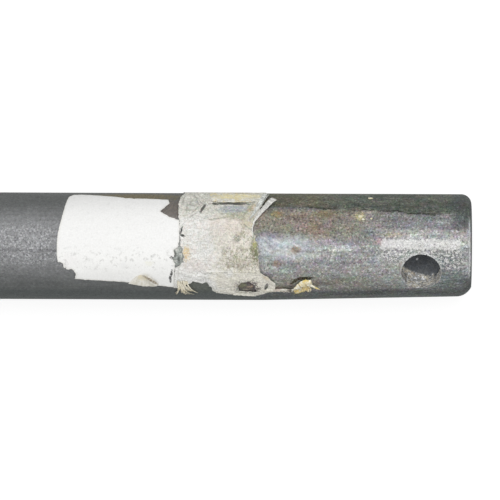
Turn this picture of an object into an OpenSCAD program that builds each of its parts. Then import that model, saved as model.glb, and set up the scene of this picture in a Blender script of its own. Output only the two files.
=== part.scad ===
// Round steel pivot pin with a locking recess, and the paper label and torn tape
// that are left on it.
//
// The bar lies along X with the recess end at +X and the label on top. The origin
// is under the middle of the bar, on the surface it lies on, and +Z is up. The
// dressed side faces -Y. All sizes are millimetres.

/* [Bar] */
// Length of the bar, end face to end face
bar_length = 304.8; // [240:0.1:600]
// Diameter of the bar
bar_diameter = 38.1; // [30:0.1:60]
// Radius on the edge of the recess end
end_radius = 3.6; // [1:0.1:5]
// Radius on the edge of the plain end
plain_end_radius = 2; // [0.5:0.1:5]

/* [Dressed side] */
// Distance from the recess end over which the -Y side is dressed away
dress_length = 75; // [45:1:100]
// Slope of the dressed side
dress_angle = 1.25; // [0.5:0.05:2.5]
// Radius on the edge of the dressed side of the end
dress_radius = 6; // [3:0.1:8]

/* [Locking recess] */
// Diameter of the blind recess
recess_diameter = 14.29; // [8:0.01:20]
// Depth of the recess at full diameter, below the surface of the bar
recess_depth = 8.5; // [5:0.1:12]
// Angle of the drill point at the bottom of the recess
drill_point = 118; // [90:1:140]
// Distance from the recess end to the centre of the recess
recess_from_end = 18.1; // [14:0.1:40]
// Angle of the recess from straight up, towards -Y
recess_angle = 30; // [0:1:60]

/* [Label] */
// Thickness of the paper label
label_thickness = 0.2; // [0.1:0.05:0.5]
// Distance from the recess end to the torn edge of the label
label_from_end = 105; // [100:0.5:130]
// Length of the label along the bar
label_length = 43; // [30:0.5:60]
// Thickness of the flap that curls off the lower edge of the label
flap_thickness = 0.5; // [0.2:0.1:1]

/* [Torn tape] */
// Thickness of the torn tape band
band_thickness = 0.25; // [0.1:0.05:0.5]
// Distance from the recess end to the near edge of the band
band_from_end = 73; // [50:0.5:74]
// Length of the band along the bar
band_length = 31.5; // [20:0.5:31.5]
// How far the band reaches in under the bar, from its +Y side
band_under_reach = 7; // [3:0.5:12]
// Thickness of each tape strip that lies on the band
strip_thickness = 0.25; // [0.1:0.05:0.5]

/* [Strands and tufts] */
// Thickness of the rolled strand of tape
strand_thickness = 1; // [0.4:0.1:1.5]
// Thickness of the fibre tufts
tuft_thickness = 0.9; // [0.4:0.1:1.5]
// Thickness of the torn ribbon
ribbon_thickness = 0.4; // [0.2:0.1:1]

/* [Glue specks] */
// Radius of the largest speck of hardened glue
speck_radius = 0.9; // [0.5:0.1:1.5]

/* [Hidden] */
$fn = 96;
over = 2;            // how far a cutter runs past what it cuts
glue_line = 0.02;    // glue between the bar and what is stuck on it
lap = 0.02;          // gap between one layer of paper and the next
bar_r = bar_diameter / 2;
end_x = bar_length / 2;
recess_r = recess_diameter / 2;
dress_overhang = end_radius / 10;   // keeps the end face flat up to the dressed edge
point_depth = recess_r / tan(drill_point / 2);
label_top = glue_line + label_thickness;
band_top = glue_line + band_thickness;
strand_base = band_top + lap;

// The outlines below are seen from above, as [distance, side] pairs: the distance
// from the near edge, away from the recess end, and the place across the bar as a
// share of its radius, from -1 at the -Y side to 1 at the +Y side. PAST runs past
// the +Y side.
PAST = 1.1;

// The material outside a quarter circle of radius r, in its corner
module corner(r) {
    difference() {
        square(r + over);
        circle(r);
    }
}

// A round bar along X from x = 0, with a radius on each end edge
module round_bar(r, length, start_edge, end_edge) {
    rotate([0, 90, 0])
    rotate_extrude()
    difference() {
        square([r, length]);
        translate([r - end_edge, length - end_edge])
            corner(end_edge);
        translate([r - start_edge, start_edge])
            mirror([0, 1])
                corner(start_edge);
    }
}

// The -Y side that is dressed away towards the recess end
module dressing() {
    pivot_x = end_x - dress_length;
    difference() {
        translate([pivot_x, -bar_r - over, -over])
            cube([dress_length + over, bar_r + over, bar_diameter + 2 * over]);
        translate([pivot_x, 0, bar_r])
            rotate([0, 0, dress_angle])
                translate([-dress_length, 0, 0])
                    round_bar(bar_r, 2 * dress_length + dress_overhang, end_radius, dress_radius);
    }
}

// The blind recess, with the cone that a drill leaves at its bottom
module recess() {
    translate([end_x - recess_from_end, 0, bar_r])
    rotate([recess_angle, 0, 0])
    translate([0, 0, bar_r - recess_depth]) {
        cylinder(h = recess_depth + over, r = recess_r);
        translate([0, 0, -point_depth])
            cylinder(h = point_depth, r1 = 0, r2 = recess_r);
    }
}

module bar() {
    color([0.42, 0.42, 0.41])
    difference() {
        translate([-end_x, 0, bar_r])
            round_bar(bar_r, bar_length, plain_end_radius, end_radius);
        dressing();
        recess();
    }
}

// A tube round the bar, from base above its surface to base + thick
module wrap(base, thick) {
    translate([-end_x, 0, bar_r])
    rotate([0, 90, 0])
    difference() {
        cylinder(h = bar_length, r = bar_r + base + thick);
        translate([0, 0, -over])
            cylinder(h = bar_length + 2 * over, r = bar_r + base);
    }
}

// An outline of [distance, side] pairs, cut down through the upper half of the
// bar, or up through its lower half
module cut_out(outline, near_edge, under = false) {
    points = [for (p = outline) [end_x - near_edge - p[0], bar_r * p[1]]];
    translate([0, 0, bar_r])
        mirror([0, 0, under ? 1 : 0])
            linear_extrude(bar_r + over)
                polygon(points);
}

// A scrap of paper or tape on the bar, in the outline given
module scrap(outline, near_edge, base, thick) {
    intersection() {
        wrap(base, thick);
        cut_out(outline, near_edge);
    }
}

module paper_label() {
    far = label_length;
    outline = [[0, 0.51], [3, 0.53], [6, 0.64], [3.2, 0.85], [11.6, 0.89], [16.3, 0.85],
               [19, 0.86], [22.3, 0.9], [28, 0.94], [far - 8, 0.97], [far - 4.6, 0.94],
               [far - 3, 0.83], [far - 1.3, 0.49], [far, 0.19], [far, -0.28],
               [far - 2, -0.33], [far - 2.5, -0.4], [far - 5.5, -0.43], [far - 6.5, -0.62],
               [23, -0.68], [10, -0.75], [1.6, -0.77], [1.6, -0.55], [1, -0.19], [0.5, 0.11]];
    color([0.93, 0.93, 0.92])
        scrap(outline, label_from_end, glue_line, label_thickness);
}

module curled_flap() {
    outline = [[7.8, -0.7], [12, -0.53], [15, -0.49], [17, -0.6], [17.3, -0.68], [11, -0.76]];
    color([0.85, 0.82, 0.74])
        scrap(outline, label_from_end, label_top + lap, flap_thickness);
}

module torn_tape_band() {
    far = band_length;
    top = [[3.5, PAST], [4.7, 0.77], [7.2, 0.45], [6.2, 0.1], [4.2, -0.3], [3.6, -0.45],
           [0, -0.62], [0, -0.77], [3.5, -0.88], [12, -0.88], [17, -0.86], [20, -0.73],
           [27, -0.65], [far - 0.6, -0.75], [far - 1.8, -0.42], [far - 2.3, -0.1],
           [far - 0.4, 0.1], [far, 0.4], [far, 0.77], [far - 2.2, 0.95], [far - 2.2, PAST]];
    reach = 1 - band_under_reach / bar_r;
    under = [[3.5, PAST], [2, 0.95], [3, reach], [far - 9, reach - 0.1], [far - 4, 0.95],
             [far - 2.2, PAST]];
    color([0.83, 0.81, 0.74])
    intersection() {
        wrap(glue_line, band_thickness);
        union() {
            cut_out(top, band_from_end);
            cut_out(under, band_from_end, under = true);
        }
    }
}

module upper_tape_strip() {
    outline = [[4, 0.94], [5, 0.81], [21.5, 0.82], [22, 0.95], [14, 0.97]];
    color([0.86, 0.82, 0.66])
        scrap(outline, band_from_end, band_top + lap, strip_thickness);
}

module lower_tape_strip() {
    outline = [[4.5, -0.49], [21, -0.48], [22.5, -0.6], [19.5, -0.8], [13, -0.85],
               [12.5, -0.68], [6, -0.68]];
    color([0.84, 0.81, 0.73])
        scrap(outline, band_from_end, band_top + lap, strip_thickness);
}

module rolled_strand() {
    outline = [[-3, 0.85], [4.4, 0.42], [4.9, 0.46], [-1.4, 0.88]];
    color([0.88, 0.87, 0.82])
        scrap(outline, band_from_end, strand_base, strand_thickness);
}

module short_strand() {
    outline = [[0.8, 0.95], [3, 0.64], [3.7, 0.64], [2.4, 0.95]];
    color([0.76, 0.75, 0.7])
        scrap(outline, band_from_end, strand_base, strand_thickness);
}

module fibre_tuft() {
    far = band_length;
    outline = [[far + 0.2, -0.8], [far - 2.8, -0.79], [far - 4.8, -0.93], [far - 2, -0.92]];
    color([0.8, 0.75, 0.6])
        scrap(outline, band_from_end, band_top + lap, tuft_thickness);
}

module torn_ribbon() {
    outline = [[-0.3, -0.72], [-9, -0.75], [-9, -0.8], [-0.3, -0.8]];
    color([0.83, 0.79, 0.68])
        scrap(outline, band_from_end, glue_line, ribbon_thickness);
}

module torn_tuft() {
    outline = [[-9.2, -0.86], [-10, -0.74], [-13.5, -0.63], [-16, -0.66], [-19, -0.76],
               [-16, -0.8], [-13, -0.88]];
    color([0.86, 0.79, 0.6])
        scrap(outline, band_from_end, glue_line, tuft_thickness);
}

// One speck of glue, a low dome of radius r on the bar
module speck(from_end, side, r) {
    rise = r / 2;
    dome_r = (r * r + rise * rise) / (2 * rise);
    translate([end_x - from_end, 0, bar_r])
    rotate([-asin(side), 0, 0])
    translate([0, 0, bar_r + glue_line])
    rotate_extrude()
    intersection() {
        translate([0, rise - dome_r])
            circle(dome_r);
        square([r, rise]);
    }
}

module glue_specks() {
    // distance from the recess end, place across the bar, share of the largest speck
    specks = [[36, 0.93, 0.8], [39.6, 0.56, 1], [37.2, 0.52, 0.5], [35.6, 0.53, 0.6]];
    color([0.8, 0.75, 0.55])
    for (s = specks)
        speck(s[0], s[1], s[2] * speck_radius);
}

bar();
paper_label();
curled_flap();
torn_tape_band();
upper_tape_strip();
lower_tape_strip();
rolled_strand();
short_strand();
fibre_tuft();
torn_ribbon();
torn_tuft();
glue_specks();
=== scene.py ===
"""A worn round steel pivot pin with a locking recess, a paper label and torn tape."""

import math
import random

import bmesh
import bpy
from mathutils import Matrix, Vector, kdtree, noise


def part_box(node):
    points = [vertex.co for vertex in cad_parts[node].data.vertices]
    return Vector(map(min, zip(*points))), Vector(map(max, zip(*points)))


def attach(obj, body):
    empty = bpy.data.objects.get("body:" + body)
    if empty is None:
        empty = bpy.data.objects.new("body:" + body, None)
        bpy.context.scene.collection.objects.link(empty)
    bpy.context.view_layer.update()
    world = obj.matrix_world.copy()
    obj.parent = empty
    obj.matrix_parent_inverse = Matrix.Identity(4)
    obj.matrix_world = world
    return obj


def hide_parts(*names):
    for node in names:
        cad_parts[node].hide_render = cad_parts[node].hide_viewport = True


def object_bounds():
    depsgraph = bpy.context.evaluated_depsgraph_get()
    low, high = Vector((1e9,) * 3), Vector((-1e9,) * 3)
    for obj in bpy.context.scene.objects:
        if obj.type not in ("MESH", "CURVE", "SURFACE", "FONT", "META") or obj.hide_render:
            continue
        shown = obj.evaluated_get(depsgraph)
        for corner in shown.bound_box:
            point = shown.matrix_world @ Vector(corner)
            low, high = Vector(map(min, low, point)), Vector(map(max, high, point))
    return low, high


MM = 0.001
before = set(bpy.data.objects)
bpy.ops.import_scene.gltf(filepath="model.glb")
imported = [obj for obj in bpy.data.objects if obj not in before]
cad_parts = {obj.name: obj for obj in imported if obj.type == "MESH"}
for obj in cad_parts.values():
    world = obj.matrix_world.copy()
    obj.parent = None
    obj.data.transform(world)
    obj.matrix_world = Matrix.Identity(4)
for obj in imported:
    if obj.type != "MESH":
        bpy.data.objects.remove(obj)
cad_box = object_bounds()

bar_low, bar_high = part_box("bar")
END = bar_high.x
RADIUS = (bar_high.z - bar_low.z) / 2
AXIS_HEIGHT = bar_low.z + RADIUS
PAPER_REACH = cad_box[1][2] - AXIS_HEIGHT - 0.005 * MM
ARC = RADIUS / MM * math.pi / 180

# the recess: its distance from the end, its radius and its bottom edge, in mm, and its lean
RECESS_FROM_END = 18.1
RECESS_RADIUS = 7.145
RECESS_BOTTOM = 10.55
RECESS_LEAN = math.radians(30)

# A place on the bar is (mm from the recess end, degrees from the top towards +Y).


# ---------------------------------------------------------------- materials


class Value:
    """A node's output. Arithmetic on it adds Math nodes to its tree."""

    def __init__(self, nodes, socket):
        self.nodes = nodes
        self.socket = socket

    def _math(self, operation, first, second=0.0):
        return self.nodes.node("ShaderNodeMath", {"operation": operation}, {0: first, 1: second})

    def __add__(self, other):
        return self._math("ADD", self, other)

    def __radd__(self, other):
        return self._math("ADD", other, self)

    def __sub__(self, other):
        return self._math("SUBTRACT", self, other)

    def __rsub__(self, other):
        return self._math("SUBTRACT", other, self)

    def __mul__(self, other):
        return self._math("MULTIPLY", self, other)

    def __rmul__(self, other):
        return self._math("MULTIPLY", other, self)

    def __truediv__(self, other):
        return self._math("DIVIDE", self, other)

    def __abs__(self):
        return self._math("ABSOLUTE", self)

    def __pow__(self, other):
        return self._math("POWER", self, other)

    def at_most(self, other):
        return self._math("MINIMUM", self, other)

    def at_least(self, other):
        return self._math("MAXIMUM", self, other)

    def turn_from(self, other):
        return self._math("ARCTAN2", self, other)

    def fade(self, start, end):
        """0 at start and 1 at end, with a soft step between; start may be above end."""
        values = {"Value": self, "From Min": start, "From Max": end, "To Min": 0.0, "To Max": 1.0}
        if start > end:
            values.update({"From Min": end, "From Max": start, "To Min": 1.0, "To Max": 0.0})
        return self.nodes.node("ShaderNodeMapRange", {"interpolation_type": "SMOOTHSTEP"}, values)

    def within(self, low, high, soft):
        return self.fade(low - soft, low + soft) * self.fade(high + soft, high - soft)


class Nodes:
    """Adds nodes to a material's or a world's tree."""

    def __init__(self, tree):
        self.tree = tree

    def node(self, kind, settings=None, values=None, output=0):
        """Adds a node: its settings first, then the values or links of its sockets."""
        made = self.tree.nodes.new(kind)
        for key, value in (settings or {}).items():
            setattr(made, key, value)
        for key, value in (values or {}).items():
            self.feed(made.inputs[key], value)
        return Value(self, made.outputs[output]) if made.outputs else None

    def feed(self, socket, value):
        if isinstance(value, Value):
            self.tree.links.new(value.socket, socket)
        elif isinstance(value, tuple) and len(value) == 3 and socket.type == "RGBA":
            socket.default_value = (*value, 1.0)
        else:
            socket.default_value = value

    def split(self, vector):
        return [self.node("ShaderNodeSeparateXYZ", None, {0: vector}, axis) for axis in range(3)]


class Finish(Nodes):
    """A procedural material on one Principled surface, with places given round the bar."""

    def __init__(self, name, **surface):
        self.material = bpy.data.materials.new(name)
        self.material.use_nodes = True
        super().__init__(self.material.node_tree)
        self.surface = self.tree.nodes["Principled BSDF"]
        for socket, value in surface.items():
            self.surface.inputs[socket.replace("_", " ")].default_value = value
        self.place = self.node("ShaderNodeTexCoord", output="Object")
        x, self.y, z = self.split(self.place)
        self.height = z - AXIS_HEIGHT
        self.from_end = (END - x) / MM
        self.angle = self.y.turn_from(self.height) * math.degrees(1.0)

        # patterns lie across the bar on its end faces, and round it everywhere else
        facing = self.node("ShaderNodeTexCoord", output="Normal")
        end_face = abs(self.split(facing)[0]).fade(0.70, 0.80)
        around = self.node("ShaderNodeCombineXYZ", None, {"X": self.from_end, "Y": self.angle * ARC})
        across = self.node("ShaderNodeCombineXYZ", None, {"X": self.y / MM, "Y": self.height / MM})
        self.flat = self.mix(end_face, around, across)

    def set(self, socket, value):
        self.feed(self.surface.inputs[socket], value)

    def stretch(self, vector, scale):
        return self.node("ShaderNodeMapping", None, {"Vector": vector, "Scale": scale})

    def noise(self, per_mm, detail=2.0, roughness=0.5, along=1.0, across=1.0, output="Fac", seed=0.0,
              deep=False):
        """Noise from 0 to 1 with lumps about 1 / per_mm across, on the bar's surface or deep inside it."""
        if deep:
            vector = self.stretch(self.place, (1000.0, 1000.0, 1000.0))
        else:
            vector = self.stretch(self.flat, (along, across, 1.0))
        values = {"Vector": vector, "W": seed, "Scale": per_mm, "Detail": detail, "Roughness": roughness}
        return self.node("ShaderNodeTexNoise", {"noise_dimensions": "4D"}, values, output)

    def cells(self, per_mm):
        """The distance from the middle of cells about 1 / per_mm across."""
        return self.node("ShaderNodeTexVoronoi", None, {"Vector": self.flat, "Scale": per_mm}, "Distance")

    def mix(self, share, first, second, blend="MIX"):
        """A colour: first where share is 0, second where it is 1."""
        settings = {"data_type": "RGBA", "blend_type": blend, "clamp_factor": True}
        return self.node("ShaderNodeMix", settings, {0: share, 6: first, 7: second}, 2)

    def shade(self, colour, level):
        """The colour times a level."""
        return self.mix(1.0, colour, level, "MULTIPLY")

    def from_rim(self):
        """The distance in mm from a sheet's torn edge."""
        return self.node("ShaderNodeAttribute", {"attribute_name": "edge"}, None, "Fac")

    def relief(self, height, depth_mm, under=None):
        """Bump of the given depth, on top of another bump if there is one."""
        values = {"Height": height, "Distance": depth_mm * MM}
        if under is not None:
            values["Normal"] = under
        return self.node("ShaderNodeBump", None, values, "Normal")

    def patch(self, centre, size, turn, ragged, soft):
        """1 inside an oval round the centre and 0 outside it; size is its half width and height in mm."""
        along = self.from_end - centre[0]
        around = (self.angle - centre[1]) * ARC
        cos_turn = math.cos(math.radians(turn))
        sin_turn = math.sin(math.radians(turn))
        wide = (along * cos_turn + around * sin_turn) / size[0]
        high = (around * cos_turn - along * sin_turn) / size[1]
        reach = (wide * wide + high * high) ** 0.5
        reach = reach + (self.noise(1.3, 4.0, 0.75, seed=size[0]) - 0.5) * (ragged * 3.5)
        return reach.fade(1.0 + soft, 1.0 - soft)

    def patches(self, ovals):
        """1 inside any of the ovals; each is (centre, size, turn, ragged, soft)."""
        inside = self.patch(*ovals[0])
        for oval in ovals[1:]:
            inside = inside.at_least(self.patch(*oval))
        return inside

    def lines(self, places, half_width, ragged, soft):
        """1 on thin lines; each is (centre, half length in mm, turn)."""
        return self.patches([(centre, (half_length, half_width), turn, ragged, soft)
                             for centre, half_length, turn in places])

    def stain(self, colour, stains):
        """Lays stains over a colour; each is (centre, size, turn, ragged, soft, share, colour)."""
        broken = 0.25 + self.noise(1.5, 4.0, 0.75, seed=60.0).fade(0.38, 0.58) * 0.85
        for centre, size, turn, ragged, soft, share, tint in stains:
            mask = self.patch(centre, size, turn, ragged, soft) * broken
            colour = self.mix(mask * share, colour, tint)
        return colour


RUST = (0.36, 0.245, 0.17)
RUST_DARK = (0.21, 0.155, 0.12)
OCHRE = (0.34, 0.27, 0.10)
CHALK = (0.62, 0.64, 0.64)
BLUE_GREY = (0.22, 0.25, 0.31)
# painted shadow for gaps between sheets
SEAM_SHADOW = (0.035, 0.035, 0.033)


def steel_finish():
    """Bare rolled steel: dark oxide, rust and stains, and bright worn metal near the recess."""
    f = Finish("worn_steel")
    f.surface.inputs["Specular IOR Level"].default_value = 0.3
    f.surface.inputs["Specular Tint"].default_value = (0.45, 0.45, 0.45, 1.0)
    clouds = f.noise(0.13, 3.0)
    mottle = f.noise(0.7, 4.0, 0.65)
    speckle = f.noise(1.9, 2.0, 0.6)
    light_dots = f.noise(1.5, 2.0, 0.65, seed=51.0).fade(0.50, 0.66)
    dark_dots = f.noise(1.3, 2.0, 0.65, seed=53.0).fade(0.50, 0.66)
    drawn = f.noise(0.9, 3.0, 0.6, along=0.07)
    tints = f.noise(1.4, 2.0, output="Color")
    hues = f.noise(0.30, 4.0, 0.65, along=0.8, output="Color", seed=63.0)
    broad = f.noise(0.22, 4.0, 0.65, along=0.3, seed=65.0)

    # oxide, with painted shade: lighter on top, darker down both sides
    side = abs(f.angle - 4.0).fade(6.0, 54.0)
    colour = f.mix(side, (0.315, 0.318, 0.325), (0.150, 0.157, 0.155))
    colour = f.shade(colour, 0.52 + drawn * 0.56 + clouds * 0.4)
    line = f.angle.within(-6.5, -3.5, 1.2) * f.noise(0.25, 2.0, along=0.3).fade(0.35, 0.6)
    colour = f.mix(line * 0.6, colour, (0.12, 0.12, 0.125))

    # the worn stretch towards the recess end: browner above, colder and lighter below
    worn = f.from_end.fade(85.4, 74.7)
    below = f.angle.within(-58.0, -2.0, 8.0)
    colour = f.mix(worn * below * 0.6, colour, (0.40, 0.405, 0.395))
    brown = worn * f.angle.within(10.0, 44.0, 6.0) * f.from_end.fade(22.7, 49.8)
    colour = f.mix(brown * 0.7, colour, (0.32, 0.298, 0.245))
    foot = worn * f.angle.within(-56.0, -36.0, 6.0) * f.from_end.fade(28.3, 44.0)
    colour = f.mix(foot * 0.5, colour, (0.27, 0.265, 0.21))
    flecks = f.noise(0.8, 4.0, 0.7, seed=3.0).fade(0.50, 0.57)
    colour = f.mix(brown * flecks * 0.28, colour, RUST)
    far_flecks = f.noise(1.1, 4.0, 0.7, seed=5.0).fade(0.54, 0.60)
    colour = f.mix(worn * far_flecks * 0.35, colour, RUST_DARK)
    dark_flecks = f.noise(1.0, 4.0, 0.7, seed=29.0).fade(0.49, 0.57)
    colour = f.mix(brown * dark_flecks * 0.45, colour, (0.165, 0.150, 0.115))
    haze = worn * f.angle.within(-13.0, 12.0, 7.0) * f.from_end.within(56.5, 78.0, 4.0)
    milky = f.noise(0.4, 4.0, 0.65, seed=7.0).fade(0.43, 0.56)
    colour = f.mix(haze * (0.45 + milky * 0.5), colour, (0.545, 0.585, 0.61))
    streak = f.angle.within(-5.0, 1.5, 1.6) * f.from_end.within(33.0, 57.8, 4.0)
    streak = streak * f.noise(0.8, 5.0, 0.75, along=0.3, seed=9.0).fade(0.40, 0.58)
    colour = f.mix(streak * 0.8, colour, (0.58, 0.61, 0.60))

    # the scored line and the green-black oxide beyond it
    border = (f.from_end * 0.2 + 35.8).at_most(48.5)
    waver = (f.noise(0.25, 3.0, 0.7, along=0.5) - 0.5) * 10.0
    waver = waver + (f.noise(0.7, 3.0, 0.7, seed=15.0) - 0.5) * 9.0
    past_score = f.angle + waver - border
    beyond = f.from_end.fade(85.4, 76.0) * past_score.fade(-1.4, 2.8)
    colour = f.mix(beyond * 0.7, colour, (0.125, 0.138, 0.110))
    green = f.noise(0.35, 3.0, 0.6, seed=11.0).fade(0.46, 0.56)
    colour = f.mix(beyond * green * 0.5, colour, (0.075, 0.102, 0.080))
    colour = f.mix(beyond * f.from_end.fade(44.0, 56.0) * 0.7, colour, (0.150, 0.138, 0.092))
    mould = f.noise(0.75, 5.0, 0.75, along=0.6, seed=27.0)
    colour = f.mix(beyond * mould.fade(0.50, 0.62) * 0.6, colour, (0.185, 0.195, 0.165))
    colour = f.mix(beyond * mould.fade(0.46, 0.36) * 0.6, colour, (0.060, 0.072, 0.056))
    score = f.from_end.within(12.0, 64.0, 5.0) * past_score.within(-1.2, 1.1, 0.8)
    score = score * f.noise(0.4, 4.0, 0.7, along=0.3, seed=13.0).fade(0.44, 0.52)
    colour = f.mix(score * 0.9, colour, (0.040, 0.046, 0.036))

    colour = f.stain(colour, [
        ((62.7, -3.3), (1.7, 1.5), 0.0, 0.7, 0.35, 0.75, RUST),
        ((69.6, -18.7), (1.4, 1.2), 0.0, 0.8, 0.4, 0.7, RUST),
        ((56.7, 19.1), (3.2, 3.6), 0.0, 1.1, 0.5, 0.5, RUST),
        ((69.6, 37.5), (2.2, 1.4), 0.0, 1.0, 0.4, 0.7, OCHRE),
        ((62.1, 33.4), (3.6, 1.6), 0.0, 1.2, 0.5, 0.55, RUST_DARK),
        ((52.1, 38.3), (4.5, 1.5), 0.0, 1.3, 0.5, 0.4, OCHRE),
        ((56.8, -25.8), (2.6, 1.6), 0.0, 1.2, 0.5, 0.35, RUST_DARK),
        ((37.0, 15.9), (2.0, 1.6), 0.0, 1.0, 0.5, 0.6, BLUE_GREY),
        ((33.9, 5.8), (1.6, 1.6), 0.0, 0.9, 0.5, 0.45, (0.42, 0.33, 0.36)),
        ((16.6, 31.9), (2.6, 1.6), 0.0, 1.1, 0.5, 0.45, (0.13, 0.21, 0.16)),
        ((104.7, -10.0), (2.6, 4.2), 0.0, 0.4, 0.4, 0.9, (0.42, 0.45, 0.41)),
        ((107.0, 44.0), (5.5, 5.0), 0.0, 0.6, 0.5, 0.8, (0.235, 0.200, 0.170)),
        ((119.0, 68.0), (15.0, 3.0), 0.0, 0.9, 0.5, 1.2, (0.225, 0.195, 0.120)),
        ((40.0, 35.5), (1.9, 1.5), 0.0, 0.9, 0.5, 0.8, (0.62, 0.55, 0.33)),
        ((36.6, 40.0), (1.5, 1.2), 0.0, 0.9, 0.5, 0.5, (0.50, 0.48, 0.42)),
        ((10.0, -40.0), (12.0, 6.0), 0.0, 0.3, 0.5, 0.75, (0.165, 0.195, 0.195)),
        ((79.6, -49.0), (4.4, 4.0), 0.0, 0.3, 0.3, 1.0, (0.115, 0.090, 0.085)),
        ((81.6, -46.5), (1.4, 1.1), 0.0, 0.9, 0.4, 1.0, (0.24, 0.24, 0.15)),
        ((78.9, -48.5), (1.1, 0.6), -30.0, 0.9, 0.4, 1.0, (0.34, 0.26, 0.21)),
        ((80.6, -53.5), (1.6, 0.5), 0.0, 0.9, 0.4, 1.0, (0.40, 0.37, 0.29)),
        ((97.5, -48.0), (6.5, 4.5), 0.0, 0.6, 0.4, 0.8, (0.150, 0.165, 0.135)),
        # the next two: painted shadow along the top of the torn tuft
        ((63.2, -41.0), (1.9, 0.6), -42.0, 0.2, 0.4, 1.2, (0.070, 0.055, 0.030)),
        ((59.9, -36.6), (3.6, 0.6), -6.0, 0.2, 0.4, 1.2, (0.060, 0.045, 0.025)),
        ((106.0, -8.2), (0.8, 1.1), 0.0, 0.8, 0.4, 0.8, (0.085, 0.090, 0.085)),
        ((104.6, -13.6), (0.6, 0.9), 0.0, 0.8, 0.4, 0.8, (0.110, 0.120, 0.110)),
        ((105.2, -3.6), (0.7, 0.8), 0.0, 0.8, 0.4, 0.9, (0.70, 0.70, 0.66)),
        ((103.9, -8.0), (0.5, 0.4), 0.0, 0.8, 0.4, 0.8, (0.66, 0.66, 0.62)),
        ((105.5, -16.0), (0.5, 0.4), 0.0, 0.8, 0.4, 0.8, (0.66, 0.66, 0.62)),
        ((70.3, 10.0), (2.4, 1.8), 0.0, 1.0, 0.5, 0.5, (0.33, 0.35, 0.42)),
        ((7.0, -36.0), (5.0, 3.4), 0.0, 1.0, 0.5, 0.4, (0.17, 0.23, 0.235)),
    ])

    # light scratches that run down to the right
    scratches = f.lines([
        ((68.3, -2.8), 3.6, 27.0), ((66.1, -8.5), 2.6, 27.0), ((64.3, -6.4), 2.4, 40.0),
        ((60.7, -8.5), 1.6, 20.0), ((72.8, -3.3), 1.6, 32.0), ((73.6, 8.0), 2.2, 34.0),
        ((69.5, 5.5), 1.8, 24.0), ((62.5, 1.5), 2.0, 30.0),
    ], 0.32, 0.3, 0.8)
    colour = f.mix(scratches * 0.85, colour, CHALK)

    # bright rubbed metal, crackled into flakes along its lower side
    cracks = f.noise(0.95, 5.0, 0.75, seed=17.0)
    rubbed = f.from_end.within(4.2, 32.6, 0.6) * (f.angle + (cracks - 0.5) * 16.0).within(-3.6, 9.3, 0.8)
    rubbed = rubbed * (0.84 + f.noise(0.9, 4.0, 0.75, along=0.35, seed=19.0).fade(0.42, 0.50) * 0.16)
    veil = f.from_end.within(3.0, 34.0, 1.5) * f.angle.within(-19.0, 19.0, 3.0)
    crumbs = f.patches([
        ((28.0, -9.0), (5.5, 3.4), 0.0, 0.5, 0.4),
        ((7.5, -11.5), (5.4, 5.4), 0.0, 0.5, 0.4),
        ((17.5, -5.5), (15.0, 2.4), 0.0, 0.5, 0.4),
    ])
    crumbs = crumbs * cracks.fade(0.478, 0.497)
    bright = rubbed.at_least(crumbs).at_most(1.0)
    colour = f.mix(veil * 0.55, colour, (0.43, 0.435, 0.43))
    cold = f.patch((8.5, -15.0), (7.0, 5.5), 0.0, 0.4, 0.4)
    colour = f.mix(cold * 0.6, colour, (0.20, 0.23, 0.235))
    colour = f.mix(bright * 0.95, colour, (0.71, 0.71, 0.695))
    dirt = f.noise(1.3, 4.0, 0.7, seed=23.0).fade(0.555, 0.58)
    colour = f.mix(dirt * (crumbs * 0.9).at_least(rubbed * 0.4), colour, (0.16, 0.16, 0.155))
    colour = f.stain(colour, [
        ((28.5, 13.4), (4.2, 0.9), 0.0, 1.0, 0.4, 0.55, (0.47, 0.43, 0.27)),
        ((33.0, 6.3), (1.0, 1.3), 0.0, 0.8, 0.4, 0.55, (0.60, 0.46, 0.48)),
    ])

    # the end: painted light on the rounded edge at mid angles, darker corners above and below, a painted
    # highlight line along the rounding and painted shade on the end face
    edge = f.from_end.fade(4.2, 1.5)
    colour = f.mix(edge * f.angle.within(-34.0, 22.0, 8.0) * 0.6, colour, (0.56, 0.57, 0.57))
    corner = f.from_end.fade(9.5, 4.5) * f.angle.fade(13.0, 26.0)
    corner = corner.at_least(edge * f.angle.fade(-36.0, -54.0) * 0.7)
    colour = f.mix(corner * 0.7, colour, (0.085, 0.094, 0.093))
    # painted highlight line along the rounding
    rim = f.from_end.within(0.75, 1.15, 0.3) * abs(f.angle + 4.0).fade(44.0, 30.0)
    colour = f.mix(rim * 0.95, colour, (0.78, 0.80, 0.80))
    # painted shade on the end face
    face = f.from_end.fade(0.62, 0.38)
    colour = f.mix(face * 0.85, colour, (0.060, 0.064, 0.064))

    # speckle over everything
    lined = f.noise(0.9, 4.0, 0.7, along=0.12, across=1.2, seed=33.0)
    low_side = worn * (0.4 + f.from_end.fade(54.0, 40.0) * f.angle.fade(-4.0, -14.0) * 0.6)
    colour = f.mix(low_side, colour, f.shade(colour, 0.25 + lined * 1.5))
    # painted shade: darker down the lower side
    colour = f.mix(f.angle.fade(-49.0, -60.0) * 0.62, colour, (0.085, 0.100, 0.097))
    colour = f.mix(worn * (0.28 - bright * 0.2), colour, hues, "OVERLAY")
    colour = f.mix(worn * (1.0 - bright), colour, f.shade(colour, 0.15 + broad * 1.75))
    # speckle contrast: raised along the top as painted glints of the grain near the highlight, and on the
    # worn stretch as its own speckle
    speckle_and_glint = (0.22 + f.angle.within(-22.0, 22.0, 14.0) * 0.55).at_least(worn * 0.85)
    speckle_and_glint = speckle_and_glint * (1.0 - bright * 0.85) * (1.0 - haze * 0.35)
    light_dots = light_dots * (1.0 - brown * 0.2 - haze * 0.45)
    dots = 1.0 + (light_dots - dark_dots * (0.56 + brown * 0.12)) * speckle_and_glint + (mottle - 0.5) * 0.9
    colour = f.shade(colour, dots.at_least(0.2))
    colour = f.mix(0.06 + worn * (0.22 - bright * 0.18 - haze * 0.12), colour, tints, "OVERLAY")
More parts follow.
